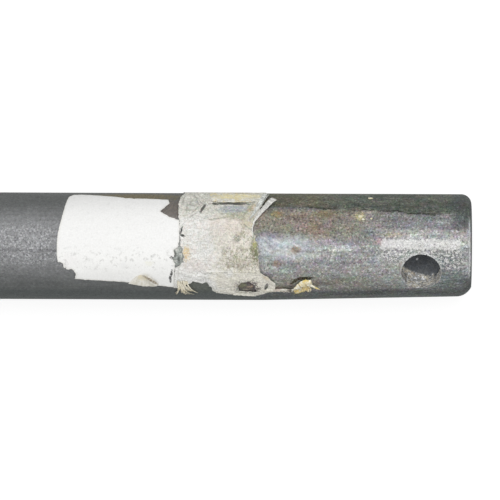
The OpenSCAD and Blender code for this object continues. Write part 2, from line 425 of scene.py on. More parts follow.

    # the recess: painted shade over its bottom and its +Y side, a mottled rusty wall, a painted glint and a
    # scuffed mouth
    cos_lean = math.cos(RECESS_LEAN)
    sin_lean = math.sin(RECESS_LEAN)
    depth_axis = (f.height * cos_lean - f.y * sin_lean) / MM
    across = (f.y * cos_lean + f.height * sin_lean) / MM
    along = f.from_end - RECESS_FROM_END
    ring = (along * along + across * across) ** 0.5
    inside = ring.fade(RECESS_RADIUS + 0.12, RECESS_RADIUS + 0.02) * depth_axis.fade(0.0, 2.0)
    middle = along + 1.5
    shore = across - middle * middle * 0.065 + (f.noise(0.9, 4.0, 0.7, seed=35.0, deep=True) - 0.5) * 4.0
    # painted shade: the bottom and the +Y side of the recess are darkened
    bottom = inside * depth_axis.fade(RECESS_BOTTOM + 1.6, RECESS_BOTTOM + 0.6) * shore.fade(-6.2, -5.5)
    bottom = bottom.at_least(inside * across.fade(1.0, 4.0))
    blotches = f.noise(0.5, 4.0, 0.7, seed=31.0, deep=True).fade(0.46, 0.54)
    wall = f.mix(blotches, (0.80, 0.76, 0.65), (0.43, 0.44, 0.44))
    rusty = f.noise(0.6, 4.0, 0.7, seed=37.0, deep=True).fade(0.53, 0.58)
    wall = f.mix(rusty * 0.6, wall, (0.40, 0.31, 0.23))
    wall = f.mix(f.noise(0.9, 4.0, 0.7, seed=41.0, deep=True).fade(0.545, 0.57), wall, (0.95, 0.97, 1.0))
    colour = f.mix(inside, colour, wall)
    wall_grain = f.noise(1.3, 4.0, 0.75, seed=47.0, deep=True)
    colour = f.mix(inside, colour, f.shade(colour, (wall_grain * 3.2 - 0.62).at_least(0.1)))
    colour = f.mix(bottom * 0.9, colour, (0.125, 0.140, 0.160))
    glint = ((along - 1.3) ** 2.0 + (across + 0.7) ** 2.0) ** 0.5
    colour = f.mix(inside * glint.fade(0.55, 0.3), colour, (0.85, 0.87, 0.88))
    sunk = (RADIUS - (f.y * f.y + f.height * f.height) ** 0.5) / MM
    mouth = ring.within(RECESS_RADIUS - 0.2, RECESS_RADIUS + 0.55, 0.25) * sunk.fade(0.9, 0.3)
    mouth = mouth * depth_axis.fade(8.0, 12.0)
    upper = mouth * across.fade(-1.0, 4.0) * f.noise(0.9, 3.0, 0.7, seed=43.0).fade(0.42, 0.50)
    lower = mouth * across.fade(-2.5, -5.5)
    colour = f.mix(upper * 0.9, colour, (0.80, 0.81, 0.80))
    colour = f.mix(lower * 0.8, colour, (0.62, 0.60, 0.47))
    f.set("Base Color", f.shade(colour, 0.87 + brown * 0.07))

    rough = 0.50 + mottle * 0.12 - bright * 0.10 + brown * 0.12 + haze * 0.08 + inside * 0.05
    f.set("Roughness", rough.at_most(0.9))
    f.set("Metallic", (0.5 + bright * 0.2 - brown * 0.25 - inside).at_least(0.0))
    pits = f.cells(1.3).fade(0.0, 0.35)
    grain = f.relief(speckle + light_dots * 0.1 - dark_dots * 0.1 + pits * 0.2, 0.35)
    f.set("Normal", f.relief(cracks * bright, 0.3, grain))
    return f.material


def label_finish():
    """White coated paper: painted light makes it whiter low down, faint dirt greys it a little there, and its
    edges are dull.
    """
    f = Finish("white_label_paper", Roughness=0.62)
    edge = f.from_rim()
    clouds = f.noise(0.10, 3.0)
    fibre = f.noise(2.4, 3.0, 0.6)
    # painted light: whiter low down, where less light falls
    colour = f.mix(f.angle.fade(2.0, -14.0), (0.935, 0.935, 0.922), (0.975, 0.975, 0.955))
    grain = f.noise(1.6, 3.0, 0.7, seed=5.0).fade(0.3, 0.7)
    colour = f.shade(colour, 0.90 + clouds * 0.06 + grain * 0.085)
    dirt = f.noise(0.55, 5.0, 0.75, seed=2.0).fade(0.545, 0.59)
    low = f.angle.fade(4.0, -14.0)
    colour = f.mix(dirt * (0.08 + low * f.angle.fade(-32.0, -20.0) * 0.3), colour, (0.42, 0.42, 0.40))
    rim = edge.fade(0.9, 0.0)
    colour = f.mix(rim * 0.35, colour, (0.66, 0.64, 0.56))
    colour = f.stain(colour, [
        ((113.7, -10.5), (0.75, 0.45), -25.0, 0.9, 0.4, 0.45, (0.22, 0.23, 0.22)),
        ((115.0, -18.7), (1.5, 0.9), 0.0, 1.0, 0.5, 0.25, (0.78, 0.76, 0.50)),
        ((125.9, -3.2), (1.4, 0.5), 15.0, 1.0, 0.6, 0.18, (0.38, 0.38, 0.38)),
        ((136.2, -14.6), (1.2, 0.6), 0.0, 1.0, 0.6, 0.16, (0.42, 0.42, 0.42)),
        ((124.1, -20.8), (1.0, 1.2), 0.0, 1.0, 0.6, 0.12, (0.42, 0.42, 0.46)),
        ((143.0, -16.7), (3.0, 2.6), 0.0, 1.0, 0.6, 0.10, (0.62, 0.50, 0.56)),
        # the next three: painted shadow in the gap along the seam with the tape
        ((107.0, -30.4), (0.45, 1.7), 8.0, 0.5, 0.3, 1.3, SEAM_SHADOW),
        ((107.4, -37.2), (0.45, 1.6), -6.0, 0.5, 0.3, 1.3, SEAM_SHADOW),
        ((106.7, -12.5), (0.9, 0.5), 30.0, 0.8, 0.3, 1.2, (0.06, 0.06, 0.06)),
    ])
    f.set("Base Color", colour)
    f.set("Normal", f.relief(fibre, 0.12, f.relief(clouds, 0.5)))
    return f.material


def backing_finish():
    """Beige backing paper with brownish creases, and a painted shadow in the slit under its fold."""
    f = Finish("beige_backing_paper", Roughness=0.75)
    edge = f.from_rim()
    streaks = f.noise(0.9, 4.0, 0.65, across=0.4)
    colour = f.mix(streaks.fade(0.44, 0.57), (0.90, 0.875, 0.80), (0.76, 0.73, 0.63))
    fibre = f.noise(2.6, 3.0, 0.6)
    colour = f.shade(colour, 0.9 + fibre * 0.18)
    colour = f.mix(edge.fade(0.45, 0.0) * 0.35, colour, (0.86, 0.85, 0.80))
    colour = f.stain(colour, [
        # painted shadow in the slit under the curled fold
        ((114.4, -37.4), (3.4, 0.55), 33.0, 0.3, 0.5, 1.0, (0.20, 0.14, 0.075)),
        ((117.4, -35.5), (1.8, 1.0), 20.0, 0.8, 0.5, 0.7, (0.86, 0.76, 0.52)),
    ])
    f.set("Base Color", colour)
    f.set("Normal", f.relief(fibre, 0.2))
    return f.material


def strand_finish(name, light, dark):
    """Rolled tape: pale, with darker lines along the roll."""
    f = Finish(name, Roughness=0.6)
    lines = f.noise(1.6, 3.0, 0.6)
    colour = f.mix(lines.fade(0.49, 0.57), light, dark)
    f.set("Base Color", f.shade(colour, 0.92 + f.noise(4.0) * 0.14))
    f.set("Normal", f.relief(f.noise(3.0, 3.0, 0.6), 0.08))
    return f.material


def tape_finish(name):
    """Beige crepe tape: pinkish, greyer and stained in places, with fine crepe lines."""
    f = Finish(name, Roughness=0.68)
    edge = f.from_rim()
    clouds = f.noise(0.16, 4.0, 0.6)
    patches = f.noise(0.5, 4.0, 0.7, seed=4.0)
    crepe = f.noise(1.5, 4.0, 0.65, along=0.28, seed=6.0)
    ribs = f.noise(1.5, 3.0, 0.6, across=0.25, seed=8.0)
    fibre = f.noise(3.0, 3.0, 0.65, seed=10.0)
    tints = f.noise(1.2, 2.0, output="Color", seed=12.0)
    crinkles = abs(f.noise(0.30, 3.0, 0.6, along=0.8, seed=24.0) - 0.5).fade(0.016, 0.0)
    crinkles = crinkles.at_least(abs(f.noise(0.42, 3.0, 0.6, across=0.7, seed=26.0) - 0.5).fade(0.013, 0.0))

    white = (1.0, 1.0, 0.975)
    cream = (0.93, 0.885, 0.785)
    grey_beige = (0.82, 0.825, 0.745)
    far_half = (f.from_end + (clouds - 0.5) * 40.0).fade(95.0, 86.0)
    colour = f.mix(far_half, white, cream)
    colour = f.mix(f.angle.fade(26.0, 42.0) * 0.8, colour, grey_beige)
    colour = f.mix(patches.fade(0.50, 0.56) * 0.5, colour, (0.93, 0.84, 0.78))
    colour = f.mix(patches.fade(0.47, 0.43) * 0.35, colour, (0.74, 0.75, 0.66))
    # painted light: the lower side made paler, where less light falls
    low_side = f.mix(far_half, (1.0, 1.0, 0.97), (1.0, 0.97, 0.86))
    colour = f.mix(f.angle.fade(-18.0, -26.0) * 0.85, colour, low_side)
    # painted shade along crinkle lines, stronger on the crumpled +Y side
    crinkle_shade = 0.3 + f.angle.fade(18.0, 40.0) * 0.5
    colour = f.mix(crinkles * crinkle_shade, colour, (0.46, 0.46, 0.40))
    colour = f.mix(crepe.fade(0.54, 0.60) * 0.2, colour, (0.50, 0.48, 0.40))
    smudges = f.noise(0.36, 5.0, 0.75, seed=20.0).fade(0.52, 0.55)
    speckled = f.from_end.fade(93.0, 84.0) * f.angle.within(-26.0, 0.0, 5.0)
    speckled = speckled.at_least(f.from_end.fade(86.0, 82.0) * f.angle.within(-4.0, 34.0, 5.0) * 0.6)
    colour = f.mix(smudges * (0.10 + speckled * 0.55), colour, (0.44, 0.43, 0.31))
    specks = f.noise(1.3, 4.0, 0.75, seed=14.0).fade(0.525, 0.56)
    colour = f.mix(specks * (0.10 + speckled * 0.75), colour, (0.32, 0.30, 0.21))
    colour = f.stain(colour, [
        ((101.8, -7.4), (1.3, 2.6), 0.0, 1.0, 0.5, 0.85, (0.80, 0.60, 0.30)),
        ((83.8, 8.8), (1.5, 1.3), -35.0, 1.0, 0.4, 1.0, (0.36, 0.36, 0.29)),
        ((82.0, 13.9), (1.1, 0.8), 0.0, 1.0, 0.4, 0.9, (0.42, 0.40, 0.30)),
        # the next two: painted shadow in the gap along the seam with the label
        ((103.5, 17.0), (0.32, 1.6), 14.0, 0.3, 0.3, 1.5, SEAM_SHADOW),
        ((103.0, 11.4), (0.9, 0.45), 12.0, 0.3, 0.3, 1.5, SEAM_SHADOW),
        ((84.7, 42.6), (5.4, 2.0), 0.0, 0.9, 0.35, 1.0, (0.43, 0.47, 0.50)),
        ((83.4, 34.6), (5.0, 1.5), 0.0, 1.2, 0.4, 0.8, (0.42, 0.43, 0.29)),
        ((78.7, 44.7), (1.0, 2.2), 25.0, 0.8, 0.4, 0.6, (0.56, 0.42, 0.16)),
        ((79.7, 24.4), (2.6, 1.0), 30.0, 0.9, 0.4, 0.5, (0.62, 0.56, 0.28)),
        ((77.0, -2.3), (1.6, 4.8), 0.0, 1.0, 0.4, 1.2, (0.21, 0.22, 0.12)),
        ((77.5, 2.9), (0.8, 1.6), 0.0, 1.1, 0.5, 0.6, (0.66, 0.62, 0.26)),
        ((82.1, -17.7), (5.0, 2.6), 0.0, 1.3, 0.5, 0.45, (0.40, 0.36, 0.28)),
        ((97.9, 51.6), (3.0, 1.2), 15.0, 1.0, 0.5, 0.45, (0.40, 0.41, 0.38)),
        ((72.6, -33.0), (2.6, 1.2), 30.0, 0.8, 0.5, 0.6, (0.58, 0.44, 0.28)),
        ((98.5, -22.0), (5.0, 2.0), 0.0, 1.0, 0.5, 0.35, (0.80, 0.66, 0.62)),
        ((88.0, 22.0), (7.0, 3.0), 0.0, 1.0, 0.5, 0.35, (0.84, 0.70, 0.64)),
        ((92.0, 8.0), (6.0, 5.0), 0.0, 1.0, 0.5, 0.30, (0.60, 0.60, 0.55)),
        ((101.0, 47.0), (2.2, 3.0), 0.0, 1.0, 0.5, 0.45, (0.50, 0.50, 0.46)),
    ])
    torn_out = f.patch((79.6, -48.5), (4.6, 3.4), 0.0, 0.5, 0.3)
    torn_out = torn_out * f.noise(0.9, 5.0, 0.75, seed=16.0).fade(0.44, 0.50)
    shade = f.mix(patches.fade(0.46, 0.54), (0.10, 0.085, 0.085), (0.20, 0.15, 0.12))
    colour = f.mix(torn_out * 0.9, colour, shade)
    # painted shadow beside folds in the tape
    folds = f.lines([
        ((102.9, 57.5), 3.0, 100.0), ((100.4, 52.0), 2.6, 118.0), ((98.2, 60.0), 2.8, 76.0),
        ((96.6, 54.0), 2.4, 60.0), ((101.6, 44.0), 2.6, 96.0), ((98.6, 41.5), 2.0, 130.0),
        ((99.6, 34.5), 2.2, 150.0), ((80.4, 41.0), 3.2, 112.0), ((78.6, 47.0), 2.4, 118.0),
        ((77.9, 12.0), 3.4, 96.0), ((80.2, 21.5), 2.2, 40.0), ((91.0, 30.5), 3.4, 172.0),
    ], 0.28, 0.25, 0.6)
    colour = f.mix(folds * 0.6, colour, (0.36, 0.37, 0.31))
    # painted shadow in slits under lifted tape edges and in a nick
    slit_shadows = f.patches([
        ((85.2, 51.6), (6.4, 0.55), 1.0, 0.15, 0.4),
        ((73.2, -47.5), (0.6, 1.7), 14.0, 0.2, 0.3),
        ((95.9, 43.5), (0.42, 2.3), 26.0, 0.2, 0.4),
        ((91.4, 51.0), (1.1, 0.7), 0.0, 1.0, 0.4),
    ])
    colour = f.mix(slit_shadows * 0.9, colour, (0.05, 0.052, 0.045))
    colour = f.mix(edge.fade(0.5, 0.0) * 0.35, colour, (0.84, 0.83, 0.78))
    fluff = f.noise(1.5, 3.0, 0.7, seed=18.0).fade(0.34, 0.66)
    colour = f.shade(colour, 0.845 + fibre * 0.16 + fluff * 0.20)
    colour = f.mix(0.24, colour, tints, "OVERLAY")
    f.set("Base Color", colour)
    f.set("Normal", f.relief(crepe + fibre * 0.4 + ribs * 0.5 + fluff * 0.04 + crinkles * 0.12, 0.7))
    return f.material


def stained_finish(name, light, dark, stain, streak=None):
    """Tape or paper fibres that have soaked up something brown or yellow."""
    f = Finish(name, Roughness=0.7)
    patches = f.noise(0.6, 4.0, 0.7, seed=21.0)
    colour = f.mix(patches.fade(0.45, 0.56), light, dark)
    colour = f.mix(f.noise(0.42, 4.0, 0.7, seed=25.0).fade(0.51, 0.56) * 0.85, colour, stain)
    if streak:
        colour = f.stain(colour, streak)
    fibre = f.noise(2.8, 3.0, 0.65, along=0.5)
    grain = f.noise(1.4, 3.0, 0.7, seed=22.0).fade(0.34, 0.66)
    colour = f.shade(colour, 0.76 + fibre * 0.2 + grain * 0.26)
    f.set("Base Color", colour)
    f.set("Normal", f.relief(fibre, 0.08))
    return f.material


def glue_finish():
    """Hardened yellowish glue."""
    f = Finish("hard_glue", Roughness=0.4)
    f.set("Base Color", f.mix(f.noise(1.2, 3.0).fade(0.4, 0.62), (0.72, 0.66, 0.40), (0.78, 0.77, 0.70)))
    f.set("Normal", f.relief(f.noise(2.5, 3.0), 0.1))
    return f.material


# ---------------------------------------------------------------- sheets of paper and tape

# in mm: steps along a torn line, cells of a sheet's grid, how ragged a cut is, glue under a sheet,
# and how near points snap to a grid line and merge with each other
EDGE_STEP = 0.28
GRID = 0.5
CLEAN_CUT = 0.05
GLUE_LINE = 0.03
SNAP = 0.0001
MERGE = 0.04


def on_bar(from_end, angle, lift, room=0.0):
    """The point lift mm above a place on the bar, kept room mm short of the object's box."""
    turn = math.radians(angle)
    steepest = max(abs(math.cos(turn)), abs(math.sin(turn)))
    reach = min(RADIUS + lift * MM, PAPER_REACH / steepest - room * MM)
    return Vector((END - from_end * MM, reach * math.sin(turn), AXIS_HEIGHT + reach * math.cos(turn)))


def flat(place):
    return Vector((place[0], place[1] * ARC, 0.0))


def near_line(point, start, stop, width):
    """1 on the line from start to stop, falling smoothly to 0 a width away; the point is flat."""
    a = flat(start)
    b = flat(stop)
    share = max(0.0, min(1.0, (point - a).dot(b - a) / (b - a).length_squared))
    gap = (point - a.lerp(b, share)).length / width
    return max(0.0, 1.0 - gap * gap) ** 2


def ease(value, start, end):
    share = max(0.0, min(1.0, (value - start) / (end - start)))
    return share * share * (3.0 - 2.0 * share)


def lumps(point, size, seed, stretch=1.0):
    """Smooth noise from -1 to 1 with lumps of the given size in mm, longer along the bar by stretch."""
    return noise.noise(Vector((point.x / (size * stretch), point.y / size, seed)))


def crease(point, size, seed, stretch=1.0):
    """Sharp-backed folds from 0 to 1."""
    return max(0.0, 1.0 - abs(lumps(point, size, seed, stretch)) * 2.2) ** 2


def torn_line(bm, corners, seed):
    """A closed line through the corners; a third number is how ragged the stretch after it is, in mm."""
    verts = [bm.verts.new(flat(corner)) for corner in corners]
    split = []
    for number, corner in enumerate(corners):
        edge = bm.edges.new((verts[number], verts[(number + 1) % len(verts)]))
        ragged = corner[2] if len(corner) > 2 else CLEAN_CUT
        last = verts[number]
        cuts = int(edge.calc_length() / EDGE_STEP)
        for cut in range(cuts):
            last = bmesh.utils.edge_split(edge, last, 1.0 / (cuts + 1 - cut))[1]
            split.append((last, ragged))
    for vert, ragged in split:
        here = Vector((vert.co.x, vert.co.y, 0.0))
        for axis in (0, 1):
            side = Vector((0.0, 0.0, seed + 20.0 * axis))
            wide = noise.noise(here * 0.7 + side)
            fine = noise.noise(here * 1.9 + side)
            vert.co[axis] += (wide * 2.2 + fine * 1.0) * ragged


def torn_sheet(name, outline, rise, finish, thickness, holes=(), seed=1.0, pitch=GRID):
    """A thin sheet in the outline given, laid round the bar at the height that rise gives."""
    bm = bmesh.new()
    torn_line(bm, outline, seed)
    for number, hole in enumerate(holes):
        torn_line(bm, hole, seed + 3.0 * (number + 1))
    bmesh.ops.triangle_fill(bm, use_beauty=True, use_dissolve=False, edges=bm.edges[:])
    for axis, across in enumerate((Vector((1.0, 0.0, 0.0)), Vector((0.0, 1.0, 0.0)))):
        low = min(vert.co[axis] for vert in bm.verts)
        high = max(vert.co[axis] for vert in bm.verts)
        cuts = int((high - low) / pitch)
        for cut in range(1, cuts + 1):
            at = low + (high - low) * cut / (cuts + 1)
            parts = bm.verts[:] + bm.edges[:] + bm.faces[:]
            bmesh.ops.bisect_plane(bm, geom=parts, dist=SNAP, plane_co=across * at, plane_no=across)
    bmesh.ops.remove_doubles(bm, verts=bm.verts[:], dist=MERGE)

    # laying the sheet on the bar mirrors it, so its faces look down here to look out there
    for face in bm.faces:
        face.normal_update()
    bmesh.ops.reverse_faces(bm, faces=[face for face in bm.faces if face.normal.z > 0.0])

    rim = [vert for vert in bm.verts if vert.is_boundary]
    tree = kdtree.KDTree(len(rim))
    for number, vert in enumerate(rim):
        tree.insert(vert.co, number)
    tree.balance()
    edge_layer = bm.verts.layers.float.new("edge")
    for vert in bm.verts:
        point = vert.co.copy()
        from_edge = tree.find(point)[2]
        vert[edge_layer] = from_edge
        lift = GLUE_LINE + thickness + max(0.0, rise(point, from_edge))
        vert.co = on_bar(point.x, point.y / ARC, lift)
    return finished(name, bm, finish, thickness)


def add_object(name, data):
    made = bpy.data.objects.new(name, data)
    bpy.context.scene.collection.objects.link(made)
    return made


def finished(name, bm, finish, thickness=0.0):
    """Makes the mesh a piece that lies on the bar."""
    mesh = bpy.data.meshes.new(name)
    bm.to_mesh(mesh)
    bm.free()
    mesh.shade_smooth()
    mesh.materials.append(finish)
    piece = add_object(name, mesh)
    if thickness:
        wall = piece.modifiers.new("thickness", "SOLIDIFY")
        wall.thickness = thickness * MM
        wall.offset = -1.0
    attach(piece, "root")
    return piece


# thicknesses of the sheets in mm
LABEL_THICKNESS = 0.13
FLAP_THICKNESS = 0.12
TAPE_THICKNESS = 0.15
UPPER_STRIP_THICKNESS = 0.13
LOWER_STRIP_THICKNESS = 0.12


def label_rise(point, from_edge):
    """The label lies flat, with its torn corner and lower edge a little lifted."""
    corner = near_line(point, (145.1, -20.8), (140.9, -31.2), 3.0)
    lower = near_line(point, (120.4, -47.7), (108.2, -51.8), 3.0)
    soft = 0.03 * (1.0 + lumps(point, 4.0, 2.0))
    return soft + 0.22 * corner + 0.15 * lower + 0.04 * ease(from_edge, 1.5, 0.0)


def make_label(finish):
    torn = 0.28
    outline = [(105.9, -49.2), (106.0, -33.2, 0.10), (105.8, -20.5, 0.25), (106.4, -12.5, 0.30),
               (106.2, -4.0, 0.25), (104.4, 0.5, 0.12), (104.2, 9.0, 0.12), (104.1, 19.4, 0.08),
               (104.3, 29.2, 0.12), (107.7, 32.8, 0.12), (111.0, 40.2, 0.12), (107.8, 53.0), (108.2, 59.6),
               (116.3, 61.8, 0.08), (120.6, 61.6, 0.12), (123.9, 63.2, 0.08), (127.1, 66.0), (132.8, 69.2),
               (139.1, 72.0), (141.9, 71.0), (143.6, 65.6), (144.5, 55.1), (145.4, 41.5), (146.4, 28.0),
               (147.4, 14.5), (147.8, 2.1), (147.8, -8.3, 0.12), (147.5, -17.2, torn), (145.7, -18.7, torn),
               (145.3, -23.9, torn), (142.3, -25.5, torn), (141.1, -30.2, torn), (141.4, -37.6, 0.10),
               (137.2, -38.8), (127.9, -40.6), (120.9, -42.6), (113.2, -45.6)]
    piece = torn_sheet("label_sheet", outline, label_rise, finish, LABEL_THICKNESS, seed=4.0)
    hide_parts("paper_label")


def make_flap(finish):
    def rise(point, from_edge):
        lip = near_line(point, (116.1, -31.6), (111.7, -45.1), 2.4)
        return label_rise(point, 9.0) + LABEL_THICKNESS + 0.55 * lip + 0.25 * abs(lumps(point, 2.4, 7.0, 2.0))

    outline = [(122.4, -43.4, 0.12), (120.6, -37.4), (119.4, -33.4), (117.7, -31.6), (115.9, -30.9),
               (114.3, -34.2), (111.6, -42.8), (112.2, -45.6), (113.9, -47.4, 0.1), (117.3, -46.8, 0.1)]
    piece = torn_sheet("backing_flap", outline, rise, finish, FLAP_THICKNESS, seed=9.0, pitch=0.35)
    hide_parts("curled_flap")


# folds in the band: start, end, width and height in mm
BAND_FOLDS = [((104.0, 61.4), (104.2, 34.8), 1.1, 0.45), ((102.1, 65.4), (97.6, 59.2), 0.9, 0.35),
              ((102.6, 55.3), (98.5, 52.1), 0.8, 0.30), ((102.7, 47.1), (97.8, 45.0), 0.8, 0.30),
              ((102.6, 40.0), (97.3, 37.3), 0.8, 0.22), ((96.8, 63.3), (94.5, 53.1), 0.8, 0.50),
              ((94.8, 53.1), (97.3, 38.4), 0.7, 0.55), ((98.3, 67.3), (95.9, 75.2), 0.9, 0.40),
              ((91.2, 45.9), (79.8, 34.6), 0.8, 0.20), ((92.0, 31.6), (82.2, 28.0), 0.8, 0.20),
              ((80.7, 50.8), (77.7, 27.4), 0.9, 0.45), ((84.7, 12.1), (82.6, 3.9), 0.8, 0.22),
              ((95.5, -28.5), (77.1, -27.9), 0.7, 0.18), ((94.1, -34.1), (98.6, -32.1), 0.9, 0.25),
              ((103.7, -29.0), (96.7, -36.7), 1.0, 0.25), ((75.1, -29.0), (70.6, -43.3), 1.3, 0.45),
              ((85.1, -62.9), (76.0, -63.8), 0.7, 0.30), ((101.4, 1.9), (102.2, -16.7), 0.9, 0.22),
              ((78.4, 12.1), (77.0, -16.7), 0.8, 0.25), ((100.5, 82.0), (75.4, 84.0), 1.0, 0.25)]


def band_rise(point, from_edge):
    """Flat where it holds, crumpled over the +Y side, with folds and curled edges."""
    angle = point.y / ARC
    crumpled = ease(angle, 24.0, 46.0) * ease(angle, 120.0, 80.0)
    rise = 0.03 * (1.0 + lumps(point, 1.2, 3.0, 4.0)) + 0.05 * (1.0 + lumps(point, 3.0, 5.0))
    rise += crumpled * 0.30 * crease(point, 2.2, 11.0, 2.2)
    rise += (0.06 + 0.10 * crumpled) * crease(point, 1.1, 13.0, 3.0)
    for start, stop, width, height in BAND_FOLDS:
        rise += height * near_line(point, start, stop, width)
    return rise + 0.10 * ease(from_edge, 1.0, 0.0)


def make_band(finish):
    rough = 0.34
    outline = [(102.5, 138.0, rough), (102.7, 92.0, 0.2), (102.4, 76.0, 0.12), (103.7, 63.4, 0.12),
               (104.6, 50.2, 0.1), (104.6, 38.9, 0.15), (104.3, 29.7, 0.2), (103.9, 14.3, 0.15),
               (103.9, 1.9, 0.2), (102.9, -4.5, rough), (102.7, -15.5, rough), (103.9, -20.5, 0.2),
               (105.8, -24.5, 0.15), (106.3, -49.7, 0.2), (103.7, -51.2, rough), (101.5, -44.5, rough),
               (99.2, -39.3, rough), (96.3, -42.4, rough), (93.9, -42.4, rough), (92.5, -51.6, rough),
               (91.0, -58.8, 0.2), (84.0, -62.3, 0.2), (77.3, -64.3, 0.2), (74.6, -61.7, 0.2),
               (72.6, -57.1, 0.12), (70.0, -50.4, 0.1), (69.9, -42.7, 0.12), (72.4, -34.1, 0.12),
               (75.3, -28.4, 0.15), (76.0, -17.7, rough), (75.7, -8.4, rough), (76.3, 3.9, rough),
               (77.6, 12.1, 0.2), (78.6, 19.3, 0.12), (77.3, 27.4, 0.12), (75.9, 40.6, 0.2),
               (74.4, 52.7, 0.2), (73.3, 66.5, 0.2), (73.4, 84.0, 0.2), (75.4, 112.0, rough),
               (76.4, 135.0, rough), (85.4, 139.0, rough), (94.5, 134.0, rough)]
    gap = [(83.2, -45.9, 0.2), (82.0, -41.8, 0.25), (79.0, -40.2, 0.25), (77.4, -44.3, 0.2),
           (76.7, -56.6, 0.15), (79.8, -56.1, 0.12), (83.0, -54.6, 0.15)]
    nick = [(73.0, -45.3), (72.5, -46.1), (72.8, -49.4), (73.5, -51.5), (73.9, -50.0), (73.3, -47.9)]
    holes = [gap, nick]
    piece = torn_sheet("tape_band", outline, band_rise, finish, TAPE_THICKNESS, holes, seed=25.0, pitch=0.4)
    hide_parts("torn_tape_band")


def make_upper_strip(finish):
    def rise(point, from_edge):
        lip = near_line(point, (91.4, 53.5), (77.7, 53.3), 1.6)
        wave = 0.22 * abs(lumps(point, 2.0, 15.0, 2.5))
        return band_rise(point, 9.0) * 0.6 + TAPE_THICKNESS + 0.45 * lip + wave

    outline = [(93.5, 78.0, 0.12), (93.3, 63.2, 0.2), (92.5, 55.6, 0.2), (88.8, 52.6, 0.06),
               (79.7, 52.6, 0.06), (75.4, 55.7, 0.12), (74.8, 62.7, 0.2), (76.2, 76.0, 0.2),
               (85.4, 82.0, 0.2)]
    piece = torn_sheet("upper_tape", outline, rise, finish, UPPER_STRIP_THICKNESS, seed=23.0, pitch=0.4)
    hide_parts("upper_tape_strip")


def make_lower_strip(finish):
    def rise(point, from_edge):
        ribs = 0.05 * crease(point, 1.4, 19.0, 0.4)
        return band_rise(point, 9.0) + TAPE_THICKNESS + 0.14 * ease(from_edge, 1.2, 0.0) + ribs

    outline = [(95.1, -29.0, 0.05), (94.8, -37.2, 0.12), (93.3, -44.4, 0.15), (91.1, -54.7, 0.15),
               (87.0, -58.2, 0.15), (84.1, -56.7, 0.2), (83.4, -46.4, 0.2), (82.1, -40.8, 0.25),
               (78.8, -38.7, 0.2), (76.4, -33.1, 0.12), (77.4, -28.6, 0.06)]
    piece = torn_sheet("lower_tape", outline, rise, finish, LOWER_STRIP_THICKNESS, seed=29.0, pitch=0.4)
    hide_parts("lower_tape_strip")


# ---------------------------------------------------------------- strands, fibres and glue


def ring_frame(centre, along, half_width, half_height, roll):
    """Turns a unit circle into an oval ring round centre, across the direction along."""
    along = along.normalized()
    out = Vector((0.0, centre.y, centre.z - AXIS_HEIGHT)).normalized()
    side = out.cross(along).normalized()
    up = along.cross(side)
    turned = side * math.cos(roll) + up * math.sin(roll)
    other = along.cross(turned)
    columns = Matrix((turned * half_width * MM, other * half_height * MM, along * MM)).transposed().to_4x4()
    return Matrix.Translation(centre) @ columns


def add_strand(bm, places, sizes, sides=10, roll=0.0):
    """A closed strand through places (mm from end, degrees, lift in mm) with (width, height) sizes in mm."""
    centres = [on_bar(*place, max(size) / 2) for place, size in zip(places, sizes)]
    frames = []
    for number, centre in enumerate(centres):
        before = centres[max(number - 1, 0)]
        after = centres[min(number + 1, len(centres) - 1)]
        width, height = sizes[number]
        turn = roll * number / (len(centres) - 1)
        frames.append(ring_frame(centre, after - before, width / 2, height / 2, turn))
    start = bmesh.ops.create_circle(bm, cap_ends=True, segments=sides, radius=1.0, matrix=frames[0])
    cap = start["verts"][0].link_faces[0]
    for before, after in zip(frames, frames[1:]):
        made = bmesh.ops.extrude_face_region(bm, geom=[cap])["geom"]
        verts = [part for part in made if isinstance(part, bmesh.types.BMVert)]
        cap = [part for part in made if isinstance(part, bmesh.types.BMFace)][0]
        bmesh.ops.transform(bm, matrix=after @ before.inverted(), verts=verts)


def between(values, count):
    """Smoothly spaced values through the ones given."""
    result = []
    for step in range(count):
        place = step / (count - 1) * (len(values) - 1)
        low = min(int(place), len(values) - 2)
        share = place - low
        result.append(tuple(a + (b - a) * share for a, b in zip(values[low], values[low + 1])))
    return result


def closed(name, bm, finish):
    """Makes closed bodies one piece, with their faces turned outwards."""
    bmesh.ops.recalc_face_normals(bm, faces=bm.faces[:])
    return finished(name, bm, finish)


def make_rolled_strand(finish):
    bm = bmesh.new()
    places = between([(70.6, 59.5, 0.75), (71.8, 54.5, 0.80), (73.4, 46.4, 0.80), (75.3, 38.8, 0.75),
                      (76.6, 32.5, 0.65), (78.0, 25.4, 0.55)], 26)
    sizes = between([(2.5, 0.5), (2.5, 0.6), (2.2, 0.7), (2.0, 0.8), (1.4, 0.7), (0.7, 0.45)], 26)
    sizes = [(w * (1.0 + 0.10 * math.sin(k * 1.9)), h) for k, (w, h) in enumerate(sizes)]
    add_strand(bm, places, sizes, 12, 0.5)
    places = between([(77.7, 25.2, 0.6), (78.3, 20.3, 0.45), (78.2, 12.1, 0.4), (77.8, 3.9, 0.35)], 16)
    add_strand(bm, places, between([(0.6, 0.45), (0.5, 0.4), (0.35, 0.3), (0.2, 0.2)], 16), 8, 0.8)
    piece = closed("rolled_tape", bm, finish)
    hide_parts("rolled_strand")


def make_short_strand(finish):
    bm = bmesh.new()
    places = between([(73.4, 74.0, 0.9), (74.3, 60.7, 1.2), (75.8, 47.7, 1.3), (77.5, 36.6, 1.2),
                      (79.0, 30.5, 0.9)], 22)
    sizes = between([(1.2, 0.35), (1.6, 0.5), (1.5, 0.5), (1.0, 0.45), (0.5, 0.3)], 22)
    add_strand(bm, places, sizes, 10, -0.6)
    places = between([(72.4, 72.2, 0.5), (73.5, 60.7, 0.6), (75.1, 47.7, 0.6)], 12)
    add_strand(bm, places, between([(0.35, 0.25), (0.4, 0.3), (0.2, 0.2)], 12), 8)
    piece = closed("short_rolled_tape", bm, finish)
    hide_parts("short_strand")


